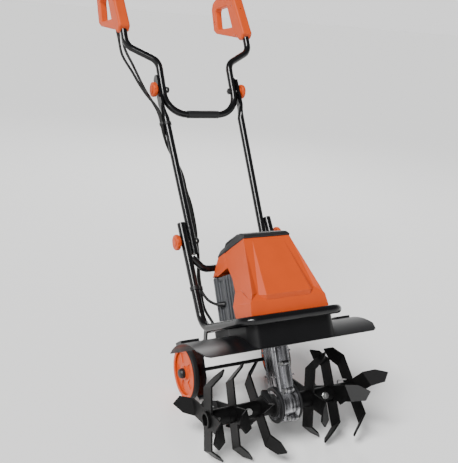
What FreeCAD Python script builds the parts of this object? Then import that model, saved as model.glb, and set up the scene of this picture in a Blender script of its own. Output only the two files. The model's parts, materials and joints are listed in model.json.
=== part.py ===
"""Electric garden tiller: four-arm tines under a fender, a motor on a geared leg, a folding handle.

The design frame has its origin on the tine axis, +X to the machine's right as seen from the front,
+Y to the rear, +Z up the leg. Every sub-part is drawn in that frame, then the whole machine is
pitched nose up so that it stands on its tines and wheels, with its origin at the box's bottom centre.
"""
import FreeCAD, Part
import math
import os
import Sketcher

V = FreeCAD.Vector
doc = FreeCAD.newDocument("tiller")
sheet = doc.addObject("Spreadsheet::Sheet", "sizes")

SIZES = {
    "body_pitch": 29.94, "tine_reach": 110, "tine_shaft_radius": 13, "sleeve_radius": 19,
    "inner_star_x": 70, "middle_star_x": 132, "outer_star_x": 194, "arm_width": 38, "arm_thickness": 4,
    "arm_length": 74, "tip_length": 44, "tip_bend": 50, "hub_bolt_x": 103, "hub_bolt_radius": 4,
    "leg_half_width": 22, "leg_half_depth": 28, "leg_top": 171, "gearcase_radius": 40, "gearcase_half_width": 27,
    "pan_half_width": 111, "pan_front": 107, "pan_step": 8, "pan_rear": 144, "pan_rear_half_width": 92,
    "pan_bottom": 137, "pan_top": 195, "pan_wall": 3, "pan_corner": 26,
    "fender_radius": 170, "fender_half_width": 232, "fender_sheet": 2,
    "fender_front_angle": 38, "fender_rear_angle": 27,
    "motor_y": 63.75, "motor_half_width": 67, "motor_top": 316, "motor_corner": 24,
    "cover_wall": 2.5, "cover_half_width": 103, "cover_flare_half_width": 79, "cover_top_half_width": 61,
    "frame_tube_radius": 10.5, "handle_tube_radius": 9.5, "tube_wall": 1.5, "frame_half_width": 125.5,
    "wheel_x": 133.5, "wheel_y": 243, "wheel_z": 94, "wheel_radius": 70, "wheel_width": 16,
    "wheel_boss_x": 116.5, "rim_radius": 64,
    "tongue_x": 115.9, "tongue_thickness": 6, "tongue_half_width": 13,
    "axle_radius": 5, "knob_radius": 20, "knob_width": 15, "pivot_bolt_radius": 4,
    "lower_pivot_y": 154, "lower_pivot_z": 420, "upper_pivot_y": 200.5, "upper_pivot_z": 844,
    "grip_half_width": 16, "loop_half_width": 11, "cable_radius": 3.5,
    "running_gap": 0.06, "body_gap": 0.4,
}
for row, (alias, value) in enumerate(SIZES.items(), 1):
    sheet.set("A%d" % row, alias)
    sheet.set("B%d" % row, str(value))
    sheet.setAlias("B%d" % row, alias)
doc.recompute()


def size(alias):
    """A driving dimension from the sheet."""
    return float(sheet.get(alias))


GAP = size("body_gap")
parts = []


def keep(obj, label):
    """List an object as a sub-part of the machine under its own label."""
    obj.Label = label
    parts.append(obj)
    return obj


def feature(label, shape):
    """A sub-part whose shape is set directly, for bent tubes and other free forms."""
    obj = doc.addObject("Part::Feature", label)
    obj.Shape = shape
    return keep(obj, label)


# ---------------------------------------------------------------- plain shapes

def box(x0, x1, y0, y1, z0, z1):
    """A block between two opposite corners."""
    return Part.makeBox(x1 - x0, y1 - y0, z1 - z0, V(x0, y0, z0))


def rod(radius, start, end):
    """A round bar from start to end."""
    start, end = V(*start), V(*end)
    return Part.makeCylinder(radius, (end - start).Length, start, end - start)


def ring(outer, inner, start, end):
    """A round bar with a bore along it."""
    start, end = V(*start), V(*end)
    overlap = (end - start).normalize()
    return rod(outer, start, end).cut(rod(inner, start - overlap, end + overlap))


def x_ring(outer, inner, x0, x1, y=0.0, z=0.0):
    """A ring about an axis along X."""
    return ring(outer, inner, (x0, y, z), (x1, y, z))


def prism(points, direction):
    """A flat outline swept along a direction."""
    corners = [V(*point) for point in points]
    return Part.Face(Part.makePolygon(corners + corners[:1])).extrude(V(*direction))


def side_prism(outline, x0, x1):
    """An outline of (y, z) points between two planes across X."""
    return prism([(x0, y, z) for y, z in outline], (x1 - x0, 0, 0))


def mirrored(shape):
    """The same shape on the machine's other side."""
    return shape.mirror(V(0, 0, 0), V(1, 0, 0))


def fuse(shapes):
    """One shape from several."""
    return shapes[0].multiFuse(shapes[1:]) if len(shapes) > 1 else shapes[0]


def arced_path(points, radii):
    """Straight runs joined by tangent arcs, one radius for each inner point."""
    corners = [V(*point) for point in points]
    edges = []
    start = corners[0]
    for before, corner, after, radius in zip(corners, corners[1:], corners[2:], radii):
        back = (before - corner).normalize()
        ahead = (after - corner).normalize()
        half_inside = back.getAngle(ahead) / 2
        cut = radius / math.tan(half_inside)
        middle = corner + (back + ahead).normalize() * (radius / math.sin(half_inside) - radius)
        edges.append(Part.LineSegment(start, corner + back * cut).toShape())
        edges.append(Part.Arc(corner + back * cut, middle, corner + ahead * cut).toShape())
        start = corner + ahead * cut
    edges.append(Part.LineSegment(start, corners[-1]).toShape())
    return Part.Wire(edges)


def pipe(path, radius):
    """A round bar along a path."""
    start = path.Edges[0]
    direction = start.tangentAt(start.FirstParameter)
    circle = Part.Wire(Part.makeCircle(radius, start.valueAt(start.FirstParameter), direction))
    return path.makePipeShell([circle], True, False)


def tube(path, radius, wall):
    """A bent hollow tube along a path."""
    return pipe(path, radius).cut(pipe(path, radius - wall))


# ---------------------------------------------------------------- PartDesign helpers

def new_body(label):
    """An empty PartDesign body that is a sub-part."""
    return keep(doc.addObject("PartDesign::Body", label), label)


def origin_plane(body, role):
    """One of the body's own origin planes."""
    return [item for item in body.Origin.OriginFeatures if item.Role == role][0]


def sketch_on(body, role, geometry, offset=0.0):
    """A sketch of closed outlines on an origin plane, moved along the plane's normal."""
    sketch = body.newObject("Sketcher::SketchObject", body.Label + "_sketch")
    sketch.AttachmentSupport = (origin_plane(body, role), [""])
    sketch.MapMode = "FlatFace"
    sketch.AttachmentOffset = FreeCAD.Placement(V(0, 0, offset), FreeCAD.Rotation())
    sketch.addGeometry(geometry, False)
    return sketch


def outline(points):
    """Sketch lines round a closed polygon of (u, v) points."""
    corners = [V(u, v, 0) for u, v in points]
    return [Part.LineSegment(a, b) for a, b in zip(corners, corners[1:] + corners[:1])]


def circle(u, v, radius):
    """A sketch circle."""
    return Part.Circle(V(u, v, 0), V(0, 0, 1), radius)


def pad(body, sketch, length, midplane=False):
    """A pad whose length is an expression of the sheet's cells."""
    result = body.newObject("PartDesign::Pad", body.Label + "_pad")
    result.Profile = sketch
    result.setExpression("Length", length)
    result.Midplane = midplane
    doc.recompute()
    return result


def pocket(body, sketch, length, reverse=False, midplane=False):
    """A pocket whose depth is an expression of the sheet's cells; it must remove material."""
    before = body.Shape.Volume
    result = body.newObject("PartDesign::Pocket", body.Label + "_pocket")
    result.Profile = sketch
    result.setExpression("Length", length)
    result.Reversed = reverse
    result.Midplane = midplane
    doc.recompute()
    if body.Shape.Volume >= before - 1e-6:
        raise RuntimeError("a pocket of %s cuts nothing" % body.Label)
    return result


def revolve(body, sketch):
    """A full turn of a profile about the sketch's horizontal axis."""
    result = body.newObject("PartDesign::Revolution", body.Label + "_revolution")
    result.Profile = sketch
    result.ReferenceAxis = (sketch, ["H_Axis"])
    result.Angle = 360
    doc.recompute()
    return result


def polar(body, source, count, axis):
    """Copies of a feature about one of the body's origin axes."""
    pattern = body.newObject("PartDesign::PolarPattern", body.Label + "_pattern")
    pattern.Originals = [source]
    pattern.Axis = (origin_plane(body, axis), [""])
    pattern.Angle = 360
    pattern.Occurrences = count
    body.Tip = pattern
    doc.recompute()
    return pattern


def rounded(points, radii):
    """Lines and tangent arcs round a closed outline of (u, v) corners, as sketch geometry."""
    corners = [V(u, v, 0) for u, v in points]
    cuts = []
    for i, corner in enumerate(corners):
        back = (corners[i - 1] - corner).normalize()
        ahead = (corners[(i + 1) % len(corners)] - corner).normalize()
        half = back.getAngle(ahead) / 2
        cut = radii[i] / math.tan(half)
        middle = corner + (back + ahead).normalize() * (radii[i] / math.sin(half) - radii[i])
        cuts.append((corner + back * cut, middle, corner + ahead * cut))
    edges = []
    for (start, middle, end), following in zip(cuts, cuts[1:] + cuts[:1]):
        if (end - start).Length > 1e-6:
            edges.append(Part.Arc(start, middle, end))
        if (following[0] - end).Length > 1e-6:
            edges.append(Part.LineSegment(end, following[0]))
    return edges


def arc_sector(inner, outer, first, last):
    """A closed ring sector about the origin; angles in degrees from the second axis, towards the first."""
    def at(radius, angle):
        turn = math.radians(angle)
        return V(radius * math.sin(turn), radius * math.cos(turn), 0)
    middle = (first + last) / 2
    return [Part.Arc(at(outer, first), at(outer, middle), at(outer, last)),
            Part.LineSegment(at(outer, last), at(inner, last)),
            Part.Arc(at(inner, last), at(inner, middle), at(inner, first)),
            Part.LineSegment(at(inner, first), at(outer, first))]


def gear_outline(teeth, root, tip, tooth_share):
    """A closed toothed outline, one tooth centred on the first axis."""
    points = []
    pitch = 360.0 / teeth
    for tooth in range(teeth):
        for radius, share in ((root, -1.35), (tip, -0.7), (tip, 0.7), (root, 1.35)):
            turn = math.radians(tooth * pitch + share * tooth_share * pitch / 2)
            points.append((radius * math.cos(turn), radius * math.sin(turn)))
    return points


# ---------------------------------------------------------------- pan, fender, leg

def build_base_housing():
    """The pan under the motor: it holds the reduction gear and closes on the fender."""
    body = new_body("base_housing")
    front, wide, narrow = -size("pan_front"), size("pan_half_width"), size("pan_rear_half_width")
    step, rear, wall, corner = size("pan_step"), size("pan_rear"), size("pan_wall"), size("pan_corner")
    half = [(wide, front), (wide, step), (narrow, step + 10), (narrow, rear)]
    radii = [corner, 8, 8, corner]

    def plan(inset):
        side = [(x - inset, y + inset if y < 0 else y - inset) for x, y in half]
        other = [(-x, y) for x, y in reversed(side)]
        return rounded(side + other, [r - inset / 2 for r in radii + radii[::-1]])

    pad(body, sketch_on(body, "XY_Plane", plan(0), size("pan_bottom")), "sizes.pan_top - sizes.pan_bottom")
    pocket(body, sketch_on(body, "XY_Plane", plan(wall), size("pan_bottom")),
           "sizes.pan_top - sizes.pan_bottom - sizes.pan_wall", reverse=True)
    motor_y, top = size("motor_y"), size("pan_top")
    pad(body, sketch_on(body, "XY_Plane", [circle(0, motor_y, 20)], top - 6), "6")
    ribs = outline([(-wide, 118), (wide, 118), (wide, 132), (-wide, 132)])
    pad(body, sketch_on(body, "XY_Plane", ribs, top - wall - 7), "7")
    pocket(body, sketch_on(body, "XY_Plane", [circle(0, motor_y, 16)], top + 1), "14")
    pocket(body, sketch_on(body, "YZ_Plane", [circle(0, 0, size("fender_radius") + size("fender_sheet") + 0.3)]),
           "2 * sizes.pan_half_width + 20", midplane=True)


def build_fender():
    """The curved guard sheet over the tines, with a hole for the leg and a stiffening pad at each end."""
    body = new_body("fender")
    inner, sheet_thickness = size("fender_radius"), size("fender_sheet")
    sector = arc_sector(inner, inner + sheet_thickness, -size("fender_front_angle"), size("fender_rear_angle"))
    pad(body, sketch_on(body, "YZ_Plane", sector), "2 * sizes.fender_half_width", midplane=True)
    edge = size("fender_half_width")
    for side in (-1, 1):
        stiffener = arc_sector(inner + 1, inner + 8, 2, 13)
        sketch = sketch_on(body, "YZ_Plane", stiffener, side * (edge - 24))
        pad(body, sketch, "44", midplane=True)
    for side in (-1, 1):
        corner = outline([(side * (edge + 5), -112), (side * (edge + 5), -70), (side * (edge - 10), -100),
                          (side * (edge - 34), -112)])
        pocket(body, sketch_on(body, "XY_Plane", corner, 220), "120")
    leg_x, leg_y = size("leg_half_width") + 0.4, size("leg_half_depth") + 0.4
    slot = outline([(-leg_x, -leg_y), (leg_x, -leg_y), (leg_x, leg_y), (-leg_x, leg_y)])
    pocket(body, sketch_on(body, "XY_Plane", slot, 220), "120")


LEG_SCREWS = ((-34, 92), (-34, 31), (-34, -31.5), (34, 92), (34, 36), (35, -30))


def leg_half():
    """The leg's half on the +X side: a channel down to the gear chamber, split on the middle plane."""
    half_width, depth, top = size("leg_half_width"), size("leg_half_depth"), size("leg_top")
    case = size("gearcase_radius")
    column = Part.Wire([edge.toShape() for edge in rounded(
        [(0, -depth), (half_width, -depth), (half_width, depth), (0, depth)], [0.01, 9, 9, 0.01])])
    shape = Part.Face(column).extrude(V(0, 0, top + 36)).translated(V(0, 0, -36))
    shape = shape.fuse(rod(case, (0, 0, 0), (size("gearcase_half_width") - 7, 0, 0)))
    shape = shape.fuse(rod(case - 7, (0, 0, 0), (size("gearcase_half_width") + 2, 0, 0)))
    for y in (-1, 1):
        edge_y = sorted((y * depth * 0.9, y * (depth + 8)))
        shape = shape.fuse(box(0, 5, edge_y[0], edge_y[1], 24, 146))
    for y, z in LEG_SCREWS:
        shape = shape.fuse(rod(6.5, (0, y, z), (8, y, z)))
    for z in (62, 118):
        shape = shape.fuse(box(0, half_width + 1.2, -depth - 1.2, depth + 1.2, z, z + 4))
    for y in (-17, 0, 17):
        shape = shape.fuse(box(half_width - 1, half_width + 1.4, y - 1.6, y + 1.6, 48, 148))
    for x in (6, 14):
        shape = shape.fuse(box(x - 1.6, x + 1.6, -depth - 1.2, depth + 1.2, -30, 150))
    shape = shape.fuse(box(0, size("pan_half_width") - size("pan_wall"), -24, -2, top + 1.4, top + 5.4))
    shape = shape.fuse(box(0, half_width, -22, 12, top - 1, top + 2))
    shape = shape.cut(rod(8.5, (0, 0, 30), (0, 0, top + 6)))
    shape = shape.cut(rod(10, (0, 0, 36), (0, 0, 44))).cut(rod(10, (0, 0, top - 12), (0, 0, top - 3)))
    shape = shape.cut(rod(33, (-1, 0, 0), (19.5, 0, 0)))
    shape = shape.cut(rod(20, (0, 0, 0), (27, 0, 0)))
    shape = shape.cut(rod(size("tine_shaft_radius") + size("running_gap"), (0, 0, 0), (40, 0, 0)))
    for y, z in LEG_SCREWS:
        shape = shape.cut(rod(2.6, (-1, y, z), (12, y, z)))
    return shape.removeSplitter()


def build_leg():
    """Both halves of the leg and the screws along the split."""
    feature("leg_right", leg_half())
    feature("leg_left", mirrored(leg_half()))
    screws = []
    for y, z in LEG_SCREWS:
        shank = rod(2.5, (-8, y, z), (8, y, z))
        head = hex_bar(4.6, (-12, y, z), (-8, y, z))
        nut = hex_bar(4.6, (8, y, z), (12, y, z))
        screws.append(fuse([shank, head, nut]))
    feature("leg_bolts", Part.makeCompound(screws))


def hex_bar(radius, start, end):
    """A hexagonal bar between two points, radius to its flats."""
    start, end = V(*start), V(*end)
    along = (end - start)
    turn = FreeCAD.Rotation(V(0, 0, 1), along)
    reach = radius / math.cos(math.pi / 6)
    turns = [math.radians(60 * i) for i in range(6)]
    corners = [start + turn.multVec(V(reach * math.cos(a), reach * math.sin(a), 0)) for a in turns]
    return Part.Face(Part.makePolygon(corners + corners[:1])).extrude(along)


# ---------------------------------------------------------------- motor and cover

FLANGE_BOLTS = [(x, y) for x in (-1, 1) for y in (-1, 1)]
FLANGE_REACH_X, FLANGE_REACH_Y = 71.5, 56


def build_motor_housing():
    """The fluted motor case: a square cup, open at the bottom, with a bolted foot."""
    body = new_body("motor_housing")
    half, middle, foot = size("motor_half_width"), size("motor_y"), size("pan_top")
    corner = size("motor_corner")

    def square(reach_x, reach_y, radius):
        low, high = middle - reach_y, middle + reach_y
        return rounded([(-reach_x, low), (reach_x, low), (reach_x, high), (-reach_x, high)], [radius] * 4)

    pad(body, sketch_on(body, "XY_Plane", square(half, half, corner), foot), "sizes.motor_top - sizes.pan_top")
    pad(body, sketch_on(body, "XY_Plane", square(half + 10, half - 2, 14), foot), "6")
    pocket(body, sketch_on(body, "XY_Plane", square(half - 6, half - 6, corner - 5), foot),
           "sizes.motor_top - sizes.pan_top - 6", reverse=True)
    top = size("motor_top")
    pad(body, sketch_on(body, "XY_Plane", [circle(0, middle, 20)], top - 16), "12")
    pocket(body, sketch_on(body, "XY_Plane", [circle(0, middle, 16)], top - 6), "14")
    for side in (-1, 1):
        for y in (-38, 0, 38):
            flute = outline([(side * (half - 3), middle + y - 11), (side * (half + 1), middle + y - 14),
                             (side * (half + 1), middle + y + 14), (side * (half - 3), middle + y + 11)])
            pocket(body, sketch_on(body, "XY_Plane", flute, top - 8), "sizes.motor_top - sizes.pan_top - 22")
    for x, y in FLANGE_BOLTS:
        hole = [circle(x * FLANGE_REACH_X, middle + y * FLANGE_REACH_Y, 2.6)]
        pocket(body, sketch_on(body, "XY_Plane", hole, foot + 8), "10")


def build_motor_bolts():
    """Four flanged bolts through the motor's foot into the pan's roof."""
    foot = size("pan_top")
    bolts = []
    for x, y in FLANGE_BOLTS:
        at_x, at_y = x * FLANGE_REACH_X, size("motor_y") + y * FLANGE_REACH_Y
        bolts.append(fuse([rod(2.5, (at_x, at_y, foot), (at_x, at_y, foot + 6)),
                           rod(5, (at_x, at_y, foot + 6), (at_x, at_y, foot + 7.5)),
                           hex_bar(4.4, (at_x, at_y, foot + 7.5), (at_x, at_y, foot + 12))]))
    feature("motor_bolts", Part.makeCompound(bolts))


def build_stator():
    """The laminated stack pressed into the motor case, with a bore for the armature."""
    body = new_body("stator")
    reach, middle = size("motor_half_width") - 6, size("motor_y")
    pad(body, sketch_on(body, "XY_Plane", [circle(0, middle, reach), circle(0, middle, 37)], 222), "62")


def cover_blank(grow, below):
    """The cover's solid outer form, offset outwards by grow and lowered by below."""
    half, top_half = size("cover_half_width") + grow, size("cover_top_half_width") + grow
    flare = size("cover_flare_half_width") + grow
    low = 197 - below
    side = side_prism([(-101 - grow, low), (-99 - grow, 238), (-42 - grow, 391 + grow), (86, 363 + grow),
                       (110 + grow, 318), (110 + grow, low)], -140, 140)
    face = prism([(-half, -200, low), (half, -200, low), (half - 5, -200, 236), (flare, -200, 270),
                  (top_half, -200, 392 + grow), (-top_half, -200, 392 + grow), (-flare, -200, 270),
                  (-half + 5, -200, 236)], (0, 400, 0))
    return side.common(face)


def build_motor_cover():
    """The hood over the motor: a tapered shell, cut away at both sides behind the motor's fluted case."""
    wall = size("cover_wall")
    shell = cover_blank(0, 0).cut(cover_blank(-wall, 5))
    cutaway = [(-32, 190), (-18, 220), (20, 304), (45, 332), (110, 318), (150, 310), (150, 190)]
    shell = shell.cut(side_prism(cutaway, -140, 140))
    feature("motor_cover", shell.removeSplitter())
    seat = side_prism([(-44, 391.5), (0, 405), (60, 394), (90, 366), (86, 363.3), (-42, 391.3)], -58, 58)
    trim = prism([(-58, -200, 300), (58, -200, 300), (58, -200, 398), (50, -200, 410), (-50, -200, 410),
                  (-58, -200, 398)], (0, 400, 0))
    feature("cover_cap", seat.common(trim))


def build_armature():
    """The motor's turning part, with its fan, commutator and pinion."""
    middle = size("motor_y")
    parts_of_it = [rod(6, (0, middle, 176), (0, middle, 306)), rod(36, (0, middle, 224), (0, middle, 282)),
                   rod(15, (0, middle, 286), (0, middle, 298)), rod(10, (0, middle, 282), (0, middle, 286)),
                   rod(12, (0, middle, 203), (0, middle, 216))]
    for blade in range(9):
        vane = box(10, 54, -0.8, 0.8, 206, 216)
        vane.rotate(V(0, 0, 0), V(0, 0, 1), 40 * blade)
        parts_of_it.append(vane.translated(V(0, middle, 0)))
    parts_of_it.append(rod(54, (0, middle, 204), (0, middle, 206)))
    feature("armature", fuse(parts_of_it))


# ---------------------------------------------------------------- gears and shafts

FACE_TEETH, LEG_TEETH, DRIVE_TEETH, MOTOR_TEETH = 40, 8, 72, 13


def build_motor_pinion():
    """The pinion on the motor shaft; its odd number of teeth leaves a gap facing the drive gear."""
    body = new_body("motor_pinion")
    teeth = turned(gear_outline(MOTOR_TEETH, 7.9, 11.1, 0.40), 90)
    middle = size("motor_y")
    teeth = [(u, v + middle) for u, v in teeth]
    pad(body, sketch_on(body, "XY_Plane", outline(teeth) + [circle(0, middle, 6)], 177), "11.5")


def turned(points, degrees):
    """Outline points turned about the origin."""
    c, d = math.cos(math.radians(degrees)), math.sin(math.radians(degrees))
    return [(c * u - d * v, d * u + c * v) for u, v in points]


def build_drive_gear():
    """The big spur gear on the leg shaft; one tooth points at the motor."""
    body = new_body("drive_gear")
    teeth = turned(gear_outline(DRIVE_TEETH, 52.2, 55.3, 0.40), 90)
    pad(body, sketch_on(body, "XY_Plane", outline(teeth) + [circle(0, 0, 4)], 178), "10")


def build_leg_shaft():
    """The long shaft down the leg, with the small pinion cut on its lower end."""
    shaft = rod(4, (0, 0, 29), (0, 0, 190))
    teeth = [V(u, v, 21.5) for u, v in gear_outline(LEG_TEETH, 3.7, 5.9, 0.30)]
    pinion = Part.Face(Part.makePolygon(teeth + teeth[:1])).extrude(V(0, 0, 7.5))
    feature("leg_shaft", shaft.fuse(pinion).removeSplitter())


def build_tine_shaft():
    """The hollow-ended cross shaft that carries all the tines."""
    reach = size("outer_star_x") - 2
    radius = size("tine_shaft_radius")
    shaft = rod(radius, (-reach, 0, 0), (reach, 0, 0))
    for side in (-1, 1):
        x = side * size("hub_bolt_x")
        shaft = shaft.cut(rod(size("hub_bolt_radius"), (x, -30, 0), (x, 30, 0)))
        pin_x = side * (size("outer_star_x") - 14)
        shaft = shaft.cut(rod(3, (pin_x, -30, 0), (pin_x, 30, 0)))
    feature("tine_shaft", shaft)


def build_face_gear():
    """The crown wheel on the cross shaft: radial teeth that face the pinion."""
    wheel = x_ring(30, size("tine_shaft_radius"), 7, 12).fuse(x_ring(18, size("tine_shaft_radius"), 12, 18))
    teeth = [wheel]
    for tooth in range(FACE_TEETH):
        rib = box(4.1, 7.5, -0.6, 0.6, 22, 28.5)
        rib.rotate(V(0, 0, 0), V(1, 0, 0), (tooth + 0.5) * 360.0 / FACE_TEETH)
        teeth.append(rib)
    feature("face_gear", fuse(teeth))


def build_bearings():
    """Ball bearings as closed rings: two on the cross shaft, two on the leg shaft, two in the motor."""
    gap = size("running_gap")
    bore = size("tine_shaft_radius") + gap
    feature("tine_bearings", Part.makeCompound([x_ring(20, bore, 20, 26.5), x_ring(20, bore, -26.5, -20)]))
    top, middle = size("leg_top"), size("motor_y")
    feature("shaft_bearings", Part.makeCompound([
        ring(10, 4 + gap, (0, 0, 36), (0, 0, 44)),
        ring(10, 4 + gap, (0, 0, top - 12), (0, 0, top - 3)),
        ring(16, 6 + gap, (0, middle, 189.5), (0, middle, 197.5)),
        ring(16, 6 + gap, (0, middle, 300), (0, middle, 309))]))
    reach = size("gearcase_half_width")
    feature("shaft_seals", Part.makeCompound([x_ring(26, bore, reach + 2.1, reach + 5),
                                              x_ring(26, bore, -reach - 5, -reach - 2.1)]))


# ---------------------------------------------------------------- tines

def tine_arm(bend_side):
    """One flat arm along +Z with its tip folded sideways about an oblique line."""
    half, thickness = size("arm_width") / 2, size("arm_thickness")
    length, tip = size("arm_length"), size("tip_length")
    low, high = length - 7, length + 7
    reach = thickness / 2
    arm = side_prism([(-half, 14), (half, 14), (half, low), (-half, high)], -reach, reach)
    blade = side_prism([(-half, high), (half, low), (half - 1, low + tip * 0.7), (half * 0.2, length + tip + 8),
                        (-half + 2, high + tip * 0.75)], -reach, reach)
    fold_end, fold_start = V(0, half, low), V(0, -half, high)
    blade.rotate(fold_start, fold_end - fold_start, -bend_side * size("tip_bend"))
    bead = Part.makeCylinder(reach, (fold_end - fold_start).Length, fold_start, fold_end - fold_start)
    return arm.fuse(bead).fuse(blade)


def star(x, phase):
    """A hub plate with four arms whose tips fold to alternate sides."""
    pieces = [x_ring(27, size("sleeve_radius") - 1, -size("arm_thickness") / 2, size("arm_thickness") / 2)]
    for arm in range(4):
        blade = tine_arm(1 if arm % 2 else -1)
        blade.rotate(V(0, 0, 0), V(1, 0, 0), 90 * arm + phase)
        pieces.append(blade)
    return fuse(pieces).translated(V(x, 0, 0))


LEFT_PHASES = (-22, 6, 19)
RIGHT_PHASES = (22, 89, 71)


def tine_unit(side, stars, first, last, holes):
    """A sleeve with its stars, bored for the cross shaft and for its bolt or pin."""
    bore = size("tine_shaft_radius") + size("running_gap")
    pieces = [x_ring(size("sleeve_radius"), bore, *sorted((side * first, side * last)))]
    pieces += [star(side * x, phase) for x, phase in stars]
    unit = fuse(pieces).cut(rod(bore, (-260, 0, 0), (260, 0, 0)))
    for x, radius in holes:
        unit = unit.cut(rod(radius, (side * x, -60, 0), (side * x, 60, 0)))
    return unit


def build_tines():
    """Two bolted inner units and two pinned outer units, with their fasteners."""
    inner, middle, outer = size("inner_star_x"), size("middle_star_x"), size("outer_star_x")
    bolt_x, bolt_radius = size("hub_bolt_x"), size("hub_bolt_radius")
    for side, name, phases in ((-1, "left", LEFT_PHASES), (1, "right", RIGHT_PHASES)):
        feature("inner_tines_" + name, tine_unit(side, [(inner, phases[0]), (middle, phases[1])], 34, 148,
                                                 [(bolt_x, bolt_radius)]))
        feature("outer_tines_" + name, tine_unit(side, [(outer, phases[2])], 149, outer + 8, [(outer - 14, 3)]))
    bolts, pins = [], []
    for side in (-1, 1):
        x = side * bolt_x
        bolts.append(fuse([rod(bolt_radius - 0.02, (x, -27, 0), (x, 24, 0)), rod(8, (x, -20.5, 0), (x, -19.4, 0)),
                           hex_bar(6.5, (x, -26, 0), (x, -20.5, 0)), hex_bar(6.5, (x, 19.6, 0), (x, 26, 0))]))
        pin_x = side * (outer - 14)
        loop = arced_path([(pin_x, -30, 0), (pin_x, 34, 0), (pin_x, 34, 24), (pin_x, -6, 25)], [8, 8])
        pins.append(pipe(loop, 1.8).fuse(rod(2.9, (pin_x, -30, 0), (pin_x, 24, 0))))
    feature("hub_bolts", Part.makeCompound(bolts))
    feature("hair_pins", Part.makeCompound(pins))


# ---------------------------------------------------------------- frame, wheels

def cross_holes(shape, x_reach, y, z, radius):
    """A hole through both sides of the machine along X."""
    return shape.cut(rod(radius, (-x_reach, y, z), (x_reach, y, z)))


def build_frame():
    """The bent guard and frame tube, its cross tube and the two wheel brackets."""
    half, radius, wall = size("frame_half_width"), size("frame_tube_radius"), size("tube_wall")
    front_y, level = -119.5, 197
    points = [(-half, 159, 469), (-half, 112, level), (-half, front_y, level), (half, front_y, level),
              (half, 112, level), (half, 159, 469)]
    frame = tube(arced_path(points, [46, 34, 34, 46]), radius, wall)
    frame = cross_holes(frame, 200, size("lower_pivot_y"), size("lower_pivot_z"), size("pivot_bolt_radius"))
    feature("frame_tube", frame)
    inner = half - radius
    cross = [(-inner - 1, 141, 376), (-inner + 26, 141, 345), (inner - 26, 141, 345), (inner + 1, 141, 376)]
    cross_tube = tube(arced_path(cross, [24, 24]), 9, wall).cut(Part.makeCompound(
        [rod(radius, (side * half, 112, 197), (side * half, 159, 469)) for side in (-1, 1)]))
    feature("cross_tube", cross_tube)


BRACKET = [(112, 206), (128, 208), (146, 172), (262, 140), (268, 60), (226, 22), (202, 24), (168, 76),
           (168, 126), (136, 160)]
BRACKET_HOLES = [(214, 124, 3.2), (212, 92, 3.2), (224, 48, 3.2)]


def build_wheel_bracket(name, side):
    """A plate welded inside the frame's bend and bolted to the pan's lug: it carries the axle."""
    body = new_body(name)
    holes = [circle(y, z, r) for y, z, r in BRACKET_HOLES]
    holes.append(circle(size("wheel_y"), size("wheel_z"), size("axle_radius")))
    offset = side * (size("frame_half_width") - size("frame_tube_radius") - 2)
    sketch = sketch_on(body, "YZ_Plane", outline(BRACKET) + holes, offset)
    pad(body, sketch, "4", midplane=True)


def build_axle():
    """The axle rod and its two domed end nuts."""
    y, z, radius = size("wheel_y"), size("wheel_z"), size("axle_radius")
    reach = size("wheel_x") + size("wheel_width") / 2
    feature("axle_rod", rod(radius, (-reach - 8, y, z), (reach + 8, y, z)))
    nuts = []
    for side in (-1, 1):
        nut = rod(9.5, (side * (reach + 0.6), y, z), (side * (reach + 6), y, z))
        dome = Part.makeSphere(10.4, V(side * (reach + 1.5), y, z)).common(
            rod(9.5, (side * (reach + 5), y, z), (side * (reach + 12), y, z)))
        nuts.append(nut.fuse(dome).cut(rod(radius, (-reach - 8, y, z), (reach + 8, y, z))))
    feature("axle_nuts", Part.makeCompound(nuts))


def build_wheel(name, side):
    """A moulded hub with five deep pockets in its outer face and a tyre round it."""
    half, rim, outer, x = size("wheel_width") / 2, size("rim_radius"), size("wheel_radius"), side * size("wheel_x")
    y, z = size("wheel_y"), size("wheel_z")
    bore = size("axle_radius") + size("running_gap")
    hub = x_ring(rim, bore, x - half + 1, x + half - 1, y, z)
    face = x + side * (half - 1)
    hub = hub.cut(x_ring(rim - 5, 17, *sorted((face - side * 4, face + side * 2)), y, z))
    back = x - side * (half - 1)
    hub = hub.cut(x_ring(rim - 5, 17, *sorted((back + side * 6, back - side * 2)), y, z))
    hub = hub.fuse(x_ring(17, bore, *sorted((side * size("wheel_boss_x"), back)), y, z))
    for pocket_index in range(5):
        window = box(-1, 1, -9, 9, 26, 50)
        window.rotate(V(0, 0, 0), V(1, 0, 0), 72 * pocket_index)
        deep = window.translated(V(face - side * 5, y, z))
        hub = hub.cut(deep)
    feature("wheel_hub_" + name, hub.removeSplitter())
    profile = Part.Face(Part.Wire([edge.toShape() for edge in rounded(
        [(x - half, rim), (x + half, rim), (x + half, outer), (x - half, outer)], [0.5, 0.5, 5, 5])]))
    tyre = profile.revolve(V(0, 0, 0), V(1, 0, 0), 360)
    feature("tyre_" + name, tyre.translated(V(0, y, z)))


# ---------------------------------------------------------------- handle

def middle_line(z):
    """Centre of the right middle tube at a height up the leg's axis."""
    above = z - size("lower_pivot_z")
    return (103.5 + 0.0269 * above, size("lower_pivot_y") + 0.1097 * above, z)


def other_side(point):
    """A point's mirror image across the middle plane."""
    return (-point[0], point[1], point[2])


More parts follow.
